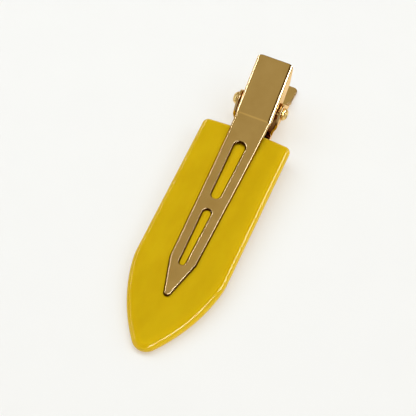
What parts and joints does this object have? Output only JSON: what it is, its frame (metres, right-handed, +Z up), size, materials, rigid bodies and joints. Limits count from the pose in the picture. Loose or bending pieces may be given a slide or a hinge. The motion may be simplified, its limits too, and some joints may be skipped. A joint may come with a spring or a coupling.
{
  "type": "no-crease hair clip",
  "caption": "Flat hair clip: a sprung metal lever with a slotted, pointed jaw closes on a smooth rounded plate, so that hair is held without a crease.",
  "frame": {"origin": "middle of the clip's footprint, on the surface that it lies on", "axes": "+Y along the clip from the plate's point to the handles, +X across it, +Z up from the surface"},
  "size_m": [0.024, 0.0876, 0.0162],
  "materials": {
    "acetate": "polished, slightly cloudy mustard yellow",
    "gilt_steel": "pale gold plate, bright and slightly brushed",
    "gilt_rivet": "pale gold plate, polished",
    "spring_wire": "gold-toned drawn wire"
  },
  "bodies": {
    "base": {"acetate_plate": "acetate", "lower_lever": "gilt_steel", "hinge_pin": "gilt_rivet", "spring": "spring_wire"},
    "arm": {"upper_lever": "gilt_steel"}
  },
  "joints": [
    {"name": "jaw_hinge", "type": "hinge", "parent": "base", "child": "arm", "pos_m": [0, 0.02949, 0.00747], "axis": [-1, 0, 0], "range_deg": [0, 40], "stiffness_Nm_per_rad": 0.06, "springref_deg": -28.65, "deforming": ["spring"]}
  ]
}
